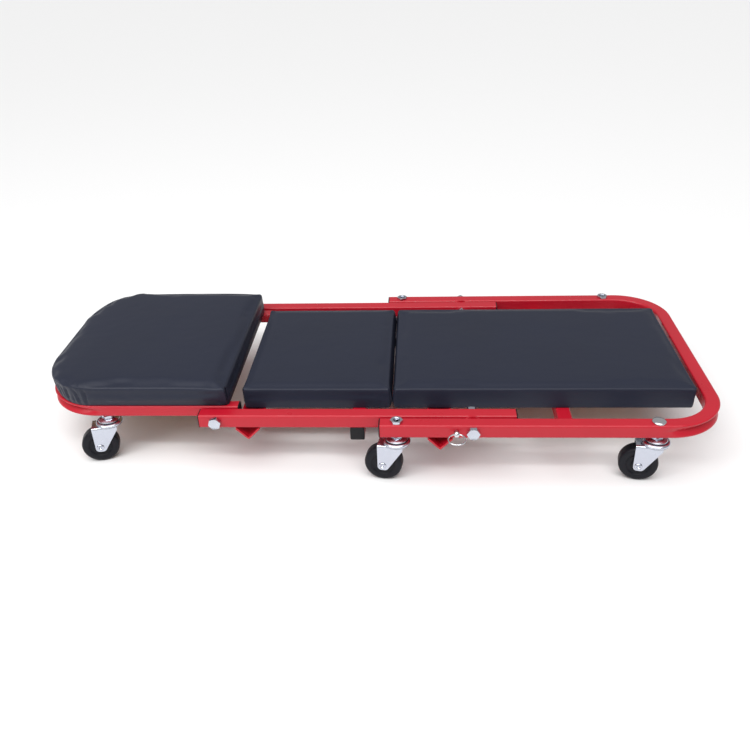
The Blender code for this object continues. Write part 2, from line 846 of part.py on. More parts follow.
# ---------------------------------------------------------------- build
clear_scene()
CREEPER = new_collection("mechanics_creeper")
CUTTERS = new_collection("cutters")
RED_PAINT = new_material("red_powder_coat", (0.52, 0.02, 0.035), 0.0, 0.32)
VINYL = new_material("black_vinyl", (0.035, 0.037, 0.048), 0.0, 0.45)
BOARD = new_material("plywood_board", (0.45, 0.30, 0.17), 0.0, 0.7)
ZINC = new_material("bright_zinc", (0.78, 0.79, 0.82), 1.0, 0.28)
CHROME = new_material("bright_chrome", (0.88, 0.88, 0.89), 1.0, 0.12)
BLACK_PLASTIC = new_material("black_plastic", (0.02, 0.02, 0.022), 0.0, 0.45)
RUBBER = new_material("black_wheel", (0.018, 0.018, 0.02), 0.0, 0.6)

middle_pivot = empty_at("middle_pivot", level(PIVOT_MIDDLE_X, 0.0, TUBE_MID_Z))
head_place = level(PIVOT_HEAD_X, 0.0, TUBE_MID_Z)
head_pivot = empty_at("head_pivot", head_place, middle_pivot)

build_base_frame()
build_middle_frame(middle_pivot)
build_head_frame(head_pivot)
build_pads(middle_pivot, head_pivot)
build_pivots(middle_pivot)
build_lock()
build_caster("front_near", STEM_FRONT_X, -BASE_HALF_Y, swivel=-8.0)
build_caster("front_far", STEM_FRONT_X, BASE_HALF_Y)
build_caster("rear_near", STEM_REAR_X, -BASE_HALF_Y, swivel=-10.0, domed=True)
build_caster("rear_far", STEM_REAR_X, BASE_HALF_Y)
build_caster("head_near", STEM_HEAD_X, -ARM_HALF_Y, head_pivot, swivel=15.0)
build_caster("head_far", STEM_HEAD_X, ARM_HALF_Y, head_pivot)
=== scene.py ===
"""Looks for a folding mechanics creeper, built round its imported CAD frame.

The frame gives the places: tubes come from their end caps, pads from their cushions and
boards, casters from their wheels and stems. All sizes are in metres. Near is the -Y side.
"""

import json
import math

import bmesh
import bpy
from mathutils import Matrix, Vector, noise


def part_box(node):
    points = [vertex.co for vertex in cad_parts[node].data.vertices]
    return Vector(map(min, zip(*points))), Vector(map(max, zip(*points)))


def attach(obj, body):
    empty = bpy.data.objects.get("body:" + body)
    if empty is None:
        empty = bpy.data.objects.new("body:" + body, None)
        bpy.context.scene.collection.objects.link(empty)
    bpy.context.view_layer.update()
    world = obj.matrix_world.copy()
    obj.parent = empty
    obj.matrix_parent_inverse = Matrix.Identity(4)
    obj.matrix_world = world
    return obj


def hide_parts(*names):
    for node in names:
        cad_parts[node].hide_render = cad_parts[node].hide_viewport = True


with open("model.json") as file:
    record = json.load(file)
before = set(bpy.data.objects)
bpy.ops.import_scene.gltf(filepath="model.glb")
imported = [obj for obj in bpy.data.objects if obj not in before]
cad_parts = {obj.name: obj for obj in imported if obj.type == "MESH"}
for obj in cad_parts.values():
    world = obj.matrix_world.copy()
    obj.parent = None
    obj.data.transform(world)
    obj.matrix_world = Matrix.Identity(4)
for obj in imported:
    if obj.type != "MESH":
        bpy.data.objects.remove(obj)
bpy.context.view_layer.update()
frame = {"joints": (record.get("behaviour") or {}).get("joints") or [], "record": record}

RECORD = frame["record"]
BODY_OF = {n: body for body, nodes in RECORD["behaviour"]["bodies"].items() for n in nodes}
SLOT_OF = {row["node"]: row["material_slot"] for row in RECORD["subparts"]}
JOINT = {joint["name"]: joint for joint in frame["joints"]}


def middle(node):
    low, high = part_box(node)
    return (low + high) / 2


# ------------ sizes from the frame
CAP_LOW, CAP_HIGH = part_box("base_end_cap_near")
HALF = (CAP_HIGH.z - CAP_LOW.z) / 2
TUBE_MID_Z = (CAP_HIGH.z + CAP_LOW.z) / 2
TUBE_TOP = TUBE_MID_Z + HALF
TUBE_BOTTOM = TUBE_MID_Z - HALF
MID_Y = (middle("base_end_cap_near").y + middle("base_end_cap_far").y) / 2
BASE_Y = middle("base_end_cap_far").y - MID_Y
LINK_Y = middle("link_end_cap_left_far").y - MID_Y
ARM_Y = middle("head_end_cap_far").y - MID_Y
HEAD_CAP_LOW, HEAD_CAP_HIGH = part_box("head_end_cap_near")
HEAD_HALF = (HEAD_CAP_HIGH.z - HEAD_CAP_LOW.z) / 2
HEAD_MID_Z = (HEAD_CAP_HIGH.z + HEAD_CAP_LOW.z) / 2
PIVOT_MIDDLE_X = JOINT["middle_fold"]["pos_m"][0]
PIVOT_HEAD_X = JOINT["head_fold"]["pos_m"][0]
CROSS_TUBE_X = middle("cross_end_cap_near").x
SIDES = ((-1, "near"), (1, "far"))
CASTERS = [f"{end}_{side}" for end in ("front", "rear", "head") for side in ("near", "far")]

# ------------ sizes of the looks
GAP = 0.0003
LAP = 0.0002
WALL = 0.0015
TUBE_CORNER = 0.0026
BASE_BEND = 0.0662
HEAD_BEND = 0.075
CROSSBAR_X = 0.2545
CROSSBAR_REACH = 0.182
CAP_PLATE = 0.0015
# The V-angles: the tip's distance from its fold axis, and its depth under the tube's middle.
ANGLE_SHIFT = 0.0416
ANGLE_TIP_DROP = 0.0277
ANGLE_LEG = 0.0230
ANGLE_THICK = 0.0022
# The dent pressed into the outer wall of a bend, and how far it fades into the straight.
GROOVE_DEPTH = 0.0068
GROOVE_RUN = 0.014
SWELL_DEPTH = 0.0009
# Radii of the fasteners and of the holes they go through.
BOSS_RADIUS = 0.011
BOLT_RADIUS = 0.00475
BOLT_BORE = 0.0051
BOLT_HEAD = 0.006
BOLT_THREAD_RUN = 0.016
NUT_BORE = 0.0049
STEM_RADIUS = 0.0040
STEM_BORE = 0.0043
STEM_PROUD = 0.0020
PIN_RADIUS = 0.003
PIN_BORE = 0.00335
HEAD_NUT_RADIUS = 0.0051
THREAD_PITCH = 0.00125
THREAD_DEPTH = 0.0005
ROUND_STEPS = 72
SMALLEST = 0.0001
# The cover is held still up to this height over its board, and swells above it.
HELD_OVER_BOARD = 0.0005
SWELL_FRAMES = 20
CAMERA_AT = Vector((0.06662, -1.01839, 0.65586))
CAMERA_PITCH = math.radians(30.506)
CAMERA_YAW = math.radians(3.905)
CAMERA_ROLL = math.radians(-2.122)
CAMERA_LENS = 38.268


def level(x, y, z):
    """A point whose y is given from the middle plane."""
    return Vector((x, MID_Y + y, z))


def set_up(thing, **values):
    """Set several properties of a thing, and give it back."""
    for name, value in values.items():
        setattr(thing, name, value)
    return thing


# ------------ materials
class Surface:
    """A material with one Principled shader, its constants and its object coordinates."""

    def __init__(self, name, **values):
        self.name = name
        self.made = bpy.data.materials.new(name + "_look")
        self.made.use_nodes = True
        self.tree = self.made.node_tree
        self.shader = self.tree.nodes["Principled BSDF"]
        for key, value in values.items():
            self.shader.inputs[key.replace("_", " ")].default_value = value
        self.place = self.node("TexCoord", "Object")

    def node(self, kind, output, values=(), links=(), **settings):
        """Add a node, set it up and give one of its outputs."""
        made = set_up(self.tree.nodes.new("ShaderNode" + kind), **settings)
        for name, value in dict(values).items():
            made.inputs[name].default_value = value
        for name, source in dict(links).items():
            self.tree.links.new(source, made.inputs[name])
        return made.outputs[output]

    def stretched(self, scale):
        return self.node("Mapping", "Vector", {"Scale": scale}, {"Vector": self.place})

    def noise(self, scale, detail=2.0, rough=0.5, stretch=None):
        place = self.stretched(stretch) if stretch else self.place
        values = {"Scale": scale, "Detail": detail, "Roughness": rough}
        return self.node("TexNoise", "Fac", values, {"Vector": place})

    def ranged(self, source, low, high, from_low=0.3, from_high=0.7):
        values = {"From Min": from_low, "From Max": from_high, "To Min": low, "To Max": high}
        return self.node("MapRange", "Result", values, {"Value": source})

    def paint(self, source, first, second, low, high, rough=None):
        """Mix two colours by a source, and set the roughness by it or by another."""
        roughness = self.ranged(rough or source, low, high)
        colours = {6: (*first, 1.0), 7: (*second, 1.0)}
        colour = self.node("Mix", 2, colours, {"Factor": source}, data_type="RGBA")
        self.tree.links.new(colour, self.shader.inputs["Base Color"])
        self.tree.links.new(roughness, self.shader.inputs["Roughness"])

    def bump(self, *layers):
        """Chain bumps, each given as (height, strength, depth in metres)."""
        normal = None
        for height, strength, depth in layers:
            links = {"Height": height, "Normal": normal} if normal else {"Height": height}
            normal = self.node("Bump", "Normal", {"Strength": strength, "Distance": depth}, links)
        self.tree.links.new(normal, self.shader.inputs["Normal"])


def red_powder_coat():
    coat = Surface(
        "red_powder_coat", Coat_Weight=0.10, Coat_Roughness=0.12, Specular_IOR_Level=0.4
    )
    cloudy = coat.noise(18.0, 3.0)
    coat.paint(cloudy, (0.43, 0.005, 0.017), (0.50, 0.008, 0.024), 0.26, 0.38)
    coat.bump((coat.noise(60.0, 1.0), 0.10, 0.0006), (coat.noise(650.0, 2.0), 0.16, 0.0002))
    return coat


def black_vinyl():
    """Vinyl with a fine cell grain and slack hollows."""
    vinyl = Surface("black_vinyl", Specular_IOR_Level=0.24)
    broad = vinyl.noise(9.0, 3.0, 0.5)
    fine = vinyl.noise(900.0, 3.0, 0.6)
    vinyl.paint(broad, (0.0150, 0.0180, 0.0320), (0.0185, 0.0220, 0.0400), 0.40, 0.46)
    sway = {1: (0.0012, 0.0012, 0.0012)}
    shift = vinyl.node("VectorMath", "Vector", sway, {0: fine}, operation="MULTIPLY")
    bent = vinyl.node("VectorMath", "Vector", links={0: vinyl.place, 1: shift})
    cells = vinyl.node(
        "TexVoronoi", "Distance", {"Scale": 820.0}, {"Vector": bent}, feature="SMOOTH_F1"
    )
    slack = vinyl.noise(1.0, 3.0, 0.6, stretch=(26.0, 55.0, 90.0))
    vinyl.bump((slack, 0.14, 0.0009), (cells, 0.30, 0.00018), (fine, 0.14, 0.0001))
    return vinyl


def plywood():
    ply = Surface("plywood")
    grain = ply.noise(1.0, 6.0, 0.65, stretch=(12.0, 160.0, 160.0))
    rings = ply.node(
        "TexWave", "Fac", {"Scale": 9.0, "Distortion": 7.0, "Detail": 3.0, "Detail Scale": 1.5},
        {"Vector": ply.stretched((0.6, 3.0, 3.0))}, bands_direction="Y",
    )
    links = {0: rings, 2: grain}
    blend = ply.node("Math", "Value", {1: 0.45}, links, operation="MULTIPLY_ADD")
    share = ply.ranged(blend, 0.0, 1.0, 0.3, 1.0)
    ply.paint(share, (0.50, 0.33, 0.18), (0.30, 0.17, 0.08), 0.60, 0.80, grain)
    ply.bump((grain, 0.3, 0.0003))
    return ply


def plated(name, dark, light, smooth, rough, marks):
    """A bright plated metal with cloudy gloss and fine marks."""
    metal = Surface(name, Metallic=1.0)
    cloud = metal.noise(160.0, 4.0, 0.6)
    fine = metal.noise(1.0, 2.0, stretch=(300.0, 300.0, 1400.0))
    metal.paint(cloud, dark, light, smooth, rough)
    metal.bump((cloud, marks, 0.0004), (fine, marks, 0.0001))
    return metal


def moulded(name, dark, light, smooth, rough, scale):
    """A moulded black plastic or rubber with a fine matt texture."""
    plastic = Surface(name, Specular_IOR_Level=0.22)
    cloud = plastic.noise(70.0, 3.0)
    plastic.paint(cloud, dark, light, smooth, rough)
    plastic.bump((plastic.noise(scale, 2.0), 0.18, 0.00015))
    return plastic


LOOKS = [
    red_powder_coat(),
    black_vinyl(),
    plywood(),
    plated("bright_zinc", (0.52, 0.55, 0.63), (0.63, 0.66, 0.74), 0.17, 0.30, 0.02),
    plated("bright_chrome", (0.66, 0.67, 0.71), (0.76, 0.77, 0.80), 0.06, 0.14, 0.01),
    moulded("black_plastic", (0.006, 0.006, 0.007), (0.011, 0.011, 0.013), 0.38, 0.52, 1400.0),
    moulded("black_wheel", (0.0040, 0.0042, 0.0072), (0.0080, 0.0085, 0.0135), 0.36, 0.48, 700.0),
]
LOOK = {look.name: look.made for look in LOOKS}


# ------------ mesh helpers
def added(name, data):
    made = bpy.data.objects.new(name, data)
    bpy.context.scene.collection.objects.link(made)
    return made


def new_piece(name, shape):
    bmesh.ops.recalc_face_normals(shape, faces=shape.faces)
    mesh = bpy.data.meshes.new(name)
    shape.to_mesh(mesh)
    shape.free()
    return added(name, mesh)


def baked(piece):
    """Fix a piece's modifiers into its mesh."""
    bpy.context.view_layer.update()
    graph = bpy.context.evaluated_depsgraph_get()
    mesh = bpy.data.meshes.new_from_object(piece.evaluated_get(graph))
    piece.modifiers.clear()
    piece.data = mesh
    mesh.name = piece.name


def combine(target, operation, others):
    """Add, cut or keep the overlap of closed solids, and drop the helpers."""
    for other in others:
        modifier = target.modifiers.new(other.name, "BOOLEAN")
        set_up(modifier, operation=operation, solver="MANIFOLD", object=other)
    baked(target)
    for other in others:
        bpy.data.objects.remove(other, do_unlink=True)


def soften(piece, width, angle=35.0):
    modifier = piece.modifiers.new("Soften", "BEVEL")
    limit = math.radians(angle)
    set_up(modifier, width=width, segments=2, limit_method="ANGLE", angle_limit=limit)


def stands_for(piece, node, even=False):
    """Put a finished piece in its CAD node's place, body and finish."""
    piece.data.materials.clear()
    piece.data.materials.append(LOOK[SLOT_OF[node]])
    piece.data.shade_smooth()
    piece.data.set_sharp_from_angle(angle=math.radians(40.0))
    if even:
        piece.modifiers.new("Even", "WEIGHTED_NORMAL").keep_sharp = True
    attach(piece, BODY_OF[node])
    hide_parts(node)


def skinned(name, rings, loop=False):
    """Quads between rings of equal length; the ends are capped unless the rings loop."""
    shape = bmesh.new()
    rows = [[shape.verts.new(point) for point in ring] for ring in rings]
    pairs = list(zip(rows, rows[1:]))
    if loop:
        pairs.append((rows[-1], rows[0]))
    count = len(rows[0])
    for one, two in pairs:
        for i in range(count):
            k = (i + 1) % count
            shape.faces.new((one[i], one[k], two[k], two[i]))
    if not loop:
        shape.faces.new(rows[0])
        shape.faces.new(list(reversed(rows[-1])))
    return new_piece(name, shape)


def polar(place, radius, angle, height):
    return place @ Vector((radius * math.cos(angle), radius * math.sin(angle), height))


def circle(place, radius, height, steps=ROUND_STEPS):
    return [polar(place, radius, math.tau * i / steps, height) for i in range(steps)]


def circles(place, profile, steps=ROUND_STEPS):
    """Rings from (radius, height) points."""
    return [circle(place, radius, height, steps) for radius, height in profile]


def turned(name, profile, place, steps, loop=False):
    """Turn (radius, height) points about the place's Z axis."""
    return skinned(name, circles(place, profile, steps), loop)


def ring_outline(points, radii, steps):
    """A closed outline with each corner rounded to its own radius, 0 for a sharp one."""
    found = []
    for i, radius in enumerate(radii):
        here = Vector(points[i])
        back = Vector(points[i - 1]) - here
        ahead = Vector(points[(i + 1) % len(points)]) - here
        if radius == 0:
            found.append(tuple(here))
            continue
        reach = radius / math.tan(back.angle(ahead) / 2)
        reach = min(reach, 0.48 * back.length, 0.48 * ahead.length)
        first = here + back.normalized() * reach
        last = here + ahead.normalized() * reach
        for k in range(steps + 1):
            t = k / steps
            found.append(tuple(first.lerp(here, t).lerp(here.lerp(last, t), t)))
    return found


def upright(at):
    return Matrix.Translation(at)


def standing(node, z=0.0):
    """An upright place on a node's own vertical axis."""
    centre = middle(node)
    return upright(Vector((centre.x, centre.y, z)))


def sideways(at, side):
    """A place whose Z axis points outwards to the near or far side."""
    return upright(at) @ Matrix.Rotation(-side * math.pi / 2, 4, "X")


def lying(at):
    """A place whose XY plane is the world's XZ plane."""
    return upright(at) @ Matrix.Rotation(math.pi / 2, 4, "X")


def aimed(start, end):
    """A place at start whose Z axis points to end."""
    turn = (end - start).to_track_quat("Z", "Y").to_matrix().to_4x4()
    return upright(start) @ turn


def prism(name, outline, place, depth):
    """An outline in the place's XY plane, made depth thick about that plane."""
    ends = (-depth / 2, depth / 2)
    return skinned(name, [[place @ Vector((x, y, z)) for x, y in outline] for z in ends])


def slab(name, outline, low, high):
    """An upright block with a level outline, from one height to another."""
    return prism(name, outline, upright((0.0, 0.0, (low + high) / 2)), high - low)


def round_bar(name, start, end, radius, steps=32):
    length = (end - start).length
    return turned(name, [(radius, 0.0), (radius, length)], aimed(start, end), steps)


# ------------ tubes
def tube_section(half, groove, swell):
    """(outward, up) points of a square tube: outer wall pressed in, inner wall swollen."""
    r = TUBE_CORNER
    flat = half - r
    points = []
    corners = ((1, 1), (-1, 1), (-1, -1), (1, -1))
    wall_steps = (8, 8, 8, 16)
    for index, (sx, sy) in enumerate(corners):
        start = math.degrees(math.atan2(sy, sx)) - 45.0
        for k in range(5):
            angle = math.radians(start + 90.0 * k / 4)
            points.append((sx * flat + r * math.cos(angle), sy * flat + r * math.sin(angle)))
        after = corners[(index + 1) % 4]
        last = points[-1]
        goal = (last[0], after[1] * flat) if index % 2 else (after[0] * flat, last[1])
        count = wall_steps[index]
        for k in range(1, count):
            t = k / count
            points.append((last[0] + (goal[0] - last[0]) * t, last[1] + (goal[1] - last[1]) * t))
    shaped = []
    for out, up in points:
        share = max(0.0, 1.0 - abs(up) / (half - 0.3 * r))
        if out > flat:
            out -= groove * share**1.5
        if out < -flat:
            out -= swell * math.sin(math.pi * share / 2)
        shaped.append((out, up))
    return shaped


def u_path(open_x, bent_x, half_y, radius):
    """Stations (point, outward, press) of a U whose bent end is at bent_x."""
    side = 1 if bent_x > open_x else -1
    centre = Vector((bent_x - side * radius, half_y - radius))
    arc = radius * math.pi / 2
    bend_steps = 32
    fades = [GROOVE_RUN * k / 6 for k in range(6, 0, -1)]

    def press(from_middle):
        """How far the dent is pressed in, from its distance to the middle of the bend."""
        t = max(0.0, 1.0 - (from_middle / (arc / 2 + GROOVE_RUN)) ** 2)
        return t * t * (3 - 2 * t)

    far = [(Vector((open_x, half_y)), Vector((0, 1)), 0.0)]
    for fade in fades:
        at = Vector((bent_x - side * radius - side * fade, half_y))
        far.append((at, Vector((0, 1)), press(arc / 2 + fade)))
    for k in range(bend_steps + 1):
        t = k / bend_steps
        angle = math.pi / 2 * (1 - t)
        out = Vector((side * math.cos(angle), math.sin(angle)))
        far.append((centre + radius * out, out, press(arc * (t - 0.5))))
    for fade in reversed(fades):
        at = Vector((bent_x, half_y - radius - fade))
        far.append((at, Vector((side, 0)), press(arc / 2 + fade)))
    near = [(Vector((at.x, -at.y)), Vector((out.x, -out.y)), p) for at, out, p in far]
    return near + far[::-1]


def straight_path(x_low, x_high, y):
    out = Vector((0, 1 if y > 0 else -1))
    return [(Vector((x_low, y)), out, 0.0), (Vector((x_high, y)), out, 0.0)]


def tube_piece(name, stations, half=HALF, mid_z=TUBE_MID_Z):
    rings = []
    for at, out, press in stations:
        ring = []
        for u, v in tube_section(half, GROOVE_DEPTH * press, SWELL_DEPTH * press):
            ring.append(level(at.x + out.x * u, at.y + out.y * u, mid_z + v))
        rings.append(ring)
    return skinned(name, rings)


def cross_tube(x, reach, mitred):
    """A hollow square tube across the frame, its ends square or cut back underneath."""
    mid_z = TUBE_BOTTOM + LAP - HALF
    rings = []
    for side in (-1, 1):
        ring = []
        for u, v in tube_section(HALF, 0.0, 0.0):
            back = (HALF - v) if mitred else 0.0
            ring.append(level(x + u, side * (reach - back), mid_z + v))
        rings.append(ring)
    bar = skinned("cross_bar", rings)
    inner = HALF - WALL
    low = level(x - inner, -reach - 0.01, mid_z - inner)
    high = level(x + inner, reach + 0.01, mid_z + inner)
    outline = [(low.x, low.y), (high.x, low.y), (high.x, high.y), (low.x, high.y)]
    combine(bar, "DIFFERENCE", [slab("bore", outline, low.z, high.z)])
    return bar


def v_angle(tip_x, half_length):
    """An angle iron across the frame, its tip pointing down."""
    leg = ANGLE_LEG / math.sqrt(2.0)
    step = ANGLE_THICK / math.sqrt(2.0)
    outline = [
        (0.0, 0.0), (leg, leg), (leg - step, leg + step),
        (0.0, 2 * step), (step - leg, leg + step), (-leg, leg),
    ]
    radii = [0.0018, 0.0005, 0.0009, 0.0020, 0.0009, 0.0005]
    at = level(tip_x, 0.0, TUBE_MID_Z - ANGLE_TIP_DROP)
    return prism("angle", ring_outline(outline, radii, 4), lying(at), 2 * half_length)


def weld_bead(name, start, end, radius, seed):
    """A rippled fillet of weld with rounded ends."""
    place = aimed(start, end)
    length = (end - start).length
    ripple_length = 0.0016
    count = 30
    rings = []
    for k in range(count + 1):
        t = k / count
        round_off = math.sqrt(max(0.02, 1.0 - (2 * t - 1) ** 6))
        ripple = 1.0 + 0.10 * math.sin(t * length / ripple_length * math.tau + seed)
        wander = 0.0002 * noise.noise(Vector((seed * 3.1, t * 6.0, 0.0)))
        ring = circle(place, radius * round_off * ripple, t * length, 14)
        rings.append([point + Vector((wander, 0, wander)) for point in ring])
    return skinned(name, rings)


def beads_along(name, mid_x, reach, low_y, high_y, z, radius, seed):
    """Beads along the two edges of a part that crosses under the tubes."""
    beads = []
    for side, _ in SIDES:
        for edge in (-1, 1):
            x = mid_x + edge * reach
            start, end = (level(x, side * y, z) for y in (low_y, high_y))
            ripples = seed(x, side, edge)
            beads.append(weld_bead(f"{name}_{side}_{edge}", start, end, radius, ripples))
    return beads


def joined_below(tip_x, bar_x, tube_y):
    """A V-angle under two tubes, its weld beads and those of a bar."""
    angle = v_angle(tip_x, tube_y + HALF)
    reach = (ANGLE_LEG - ANGLE_THICK) / math.sqrt(2.0) + 0.0009
    angle_beads = beads_along(
        "angle_bead", tip_x, reach, tube_y - 0.0078, tube_y + 0.0078, TUBE_BOTTOM - 0.0003,
        0.0016, lambda x, side, edge: x * 90 + side,
    )
    inner = tube_y - HALF
    bar_beads = beads_along(
        "bar_bead", bar_x, HALF, inner + 0.002, inner + 0.0165, TUBE_BOTTOM - LAP,
        0.0015, lambda x, side, edge: bar_x * 70 + edge,
    )
    return [angle, *angle_beads, *bar_beads]


def stem_bore(end, y):
    """A bore down through a tube for the stem at one end of a section."""
    x = middle(f"stem_{end}_near").x
    low = level(x, y, TUBE_BOTTOM - 0.004)
    return round_bar("bore", low, level(x, y, TUBE_TOP + 0.004), STEM_BORE)


def cross_bore(x, y, radius=BOLT_BORE):
    """A bore across through one tube."""
    reach = HALF + 0.006
    near = level(x, y - reach, TUBE_MID_Z)
    return round_bar("bore", near, level(x, y + reach, TUBE_MID_Z), radius)


def build_base_frame():
    low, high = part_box("base_frame")
    path = u_path(low.x, high.x - HALF, BASE_Y, BASE_BEND)
    rail = tube_piece("base_frame_painted", path)
    bar = cross_tube(CROSSBAR_X, CROSSBAR_REACH, mitred=True)
    members = [bar, *joined_below(PIVOT_MIDDLE_X - ANGLE_SHIFT, CROSSBAR_X, BASE_Y)]
    for side, _ in SIDES:
        start = level(PIVOT_MIDDLE_X, side * (LINK_Y + HALF + GAP), TUBE_MID_Z)
        end = level(PIVOT_MIDDLE_X, side * (BASE_Y - HALF + LAP), TUBE_MID_Z)
        members.append(round_bar("boss", start, end, BOSS_RADIUS, 64))
    combine(rail, "UNION", members)
    bores = []
    for side, _ in SIDES:
        y = side * BASE_Y
        bores += [stem_bore("front", y), stem_bore("rear", y), cross_bore(PIVOT_MIDDLE_X, y)]
    bores.append(cross_bore(middle("lock_pin").x, -BASE_Y, PIN_BORE))
    combine(rail, "DIFFERENCE", bores)
    stands_for(rail, "base_frame", even=True)


def build_middle_frame():
    low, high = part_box("middle_frame")
    near = tube_piece("middle_frame_painted", straight_path(low.x, high.x, -LINK_Y))
    far = tube_piece("far_link", straight_path(low.x, high.x, LINK_Y))
    bar = cross_tube(CROSS_TUBE_X, LINK_Y + HALF - CAP_PLATE - GAP, mitred=False)
    members = joined_below(PIVOT_HEAD_X + ANGLE_SHIFT, CROSS_TUBE_X, LINK_Y)
    combine(near, "UNION", [bar, *members, far])
    bores = []
    for side, _ in SIDES:
        bores.append(cross_bore(PIVOT_MIDDLE_X, side * LINK_Y))
        bores.append(cross_bore(PIVOT_HEAD_X, side * LINK_Y))
    bores.append(cross_bore(middle("lock_pin").x, -LINK_Y, PIN_BORE))
    combine(near, "DIFFERENCE", bores)
    stands_for(near, "middle_frame", even=True)


def build_head_frame():
    low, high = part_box("head_frame")
    path = u_path(high.x, low.x + HEAD_HALF, ARM_Y, HEAD_BEND)
    rail = tube_piece("head_frame_painted", path, HEAD_HALF, HEAD_MID_Z)
    bores = []
    for side, _ in SIDES:
        bores += [stem_bore("head", side * ARM_Y), cross_bore(PIVOT_HEAD_X, side * ARM_Y)]
    combine(rail, "DIFFERENCE", bores)
    stands_for(rail, "head_frame", even=True)


def build_end_cap(node, outward):
    """A moulded square plug: a slightly domed plate and a ribbed stub."""
    low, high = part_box(node)
    centre = (low + high) / 2
    depth = high.x - low.x if outward.x else high.y - low.y
    face = centre + outward * (depth / 2)
    across = Vector((abs(outward.y), abs(outward.x), 0.0))
    up = Vector((0.0, 0.0, 1.0))
    wide = (high.z - low.z) / 2
    inner = wide - WALL - GAP
    steps = [
        (0.0, wide - 0.0016), (0.00025, wide - 0.0007), (0.0008, wide - 0.0001),
        (CAP_PLATE, wide), (CAP_PLATE + 0.00001, inner),
    ]
    for k in range(6):
        at = CAP_PLATE + 0.0009 + k * 0.0016
        steps += [(at, inner), (at + 0.0003, inner - 0.0005), (at + 0.0009, inner)]
    rings = []
    for back, half in steps:
        corner = min(0.0024, half * 0.25)
        square = [(half, half), (-half, half), (-half, -half), (half, -half)]
        outline = ring_outline(square, [corner] * 4, 4)
        rings.append([face - outward * back + across * a + up * b for a, b in outline])
    stands_for(skinned(node + "_moulded", rings), node)


def build_end_caps():
    for _, label in SIDES:
        build_end_cap("base_end_cap_" + label, Vector((-1, 0, 0)))
        build_end_cap("link_end_cap_left_" + label, Vector((-1, 0, 0)))
        build_end_cap("link_end_cap_right_" + label, Vector((1, 0, 0)))
        build_end_cap("head_end_cap_" + label, Vector((1, 0, 0)))
    for side, label in SIDES:
        build_end_cap("cross_end_cap_" + label, Vector((0, side, 0)))


# ------------ fasteners
def hex_rings(place, corner, low, high, turn=0.0, low_cone=True):
    """Rings of a hexagon bar whose corners are cut to a cone at its ends."""
    flat = corner * math.cos(math.pi / 6)
    slope = math.tan(math.radians(28.0))
    cone = flat * 0.985

    def ring(height, rise, cut=False):
        found = []
        for i in range(ROUND_STEPS):
            angle = math.tau * i / ROUND_STEPS
            wide = flat / math.cos((angle - turn) % (math.pi / 3) - math.pi / 6)
            radius = cone if cut else wide
            found.append(polar(place, radius, angle, height + (wide - cone) * rise))
        return found

    rings = [ring(low, 0.0, cut=True), ring(low, slope)] if low_cone else [ring(low, 0.0)]
    return rings + [ring(high, -slope), ring(high, 0.0, cut=True)]


def thread_rings(place, radius, low, high):
    """Rings of a screwed bar from low to high, its top edge chamfered."""
    chamfer = 0.0006
    run_in = 0.0004
    count = int((high - low) / (THREAD_PITCH / 8))
    rings = []
    for k in range(count + 1):
        z = low + (high - low) * k / count
        end = min(z - low, high - z)
        least = chamfer - end if z > (low + high) / 2 else 0.0
        ring = []
        for i in range(ROUND_STEPS):
            angle = math.tau * i / ROUND_STEPS
            phase = (z / THREAD_PITCH - i / ROUND_STEPS) % 1.0
            cut = THREAD_DEPTH * (1.0 - abs(2 * phase - 1.0))
            deep = max(cut * min(1.0, end / run_in), least)
            ring.append(polar(place, radius - deep, angle, z))
        rings.append(ring)
    return rings


def nut_piece(node, place, corner, height, bore, turn):
    """A chamfered hexagon nut standing on the place's XY plane."""
    bevel = 0.0006
    rings = hex_rings(place, corner, 0.0, height, turn)
    rings += circles(place, [
        (bore + 0.0007, height), (bore, height - bevel), (bore, bevel), (bore + bevel, 0.0),
    ])
    stands_for(skinned(node + "_machined", rings, loop=True), node)


def reach_of(node, side):
    """A node's nearest and farthest reach from the middle plane on its side."""
    low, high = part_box(node)
    ends = (low.y, high.y) if side > 0 else (-high.y, -low.y)
    return [end - side * MID_Y for end in ends]


def build_pivot_bolt(node, side, x, turn):
    """A bolt whose hexagon head has a shallow dished end."""
    low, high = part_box(node)
    corner = (high.z - low.z) / 2
    inner, outer = reach_of(node, side)
    under_head = outer - BOLT_HEAD
    place = sideways(level(x, 0.0, TUBE_MID_Z), side)
    rings = [circle(place, SMALLEST, inner)]
    rings += thread_rings(place, BOLT_RADIUS, inner, inner + BOLT_THREAD_RUN)
    rings.append(circle(place, BOLT_RADIUS, under_head + 0.0001))
    rings += hex_rings(place, corner, under_head, outer, turn, low_cone=False)
    rings += circles(place, [
        (corner * 0.80, outer - 0.0001), (corner * 0.74, outer - 0.0004), (0.0002, outer - 0.0004),
    ])
    stands_for(skinned(node + "_machined", rings), node)


def build_pivots():
    for side, label in SIDES:
        for where in ("middle", "head"):
            bolt = f"pivot_bolt_{where}_{label}"
            nut = f"pivot_nut_{where}_{label}"
            x = middle(bolt).x
            turn = math.radians((13.0 if where == "head" else 0.0) + (30.0 if side > 0 else 0.0))
            build_pivot_bolt(bolt, side, x, turn)
            low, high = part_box(nut)
            start = reach_of(nut, side)[0]
            place = sideways(level(x, side * start, TUBE_MID_Z), side)
            nut_piece(nut, place, (high.z - low.z) / 2, high.y - low.y, NUT_BORE, turn)


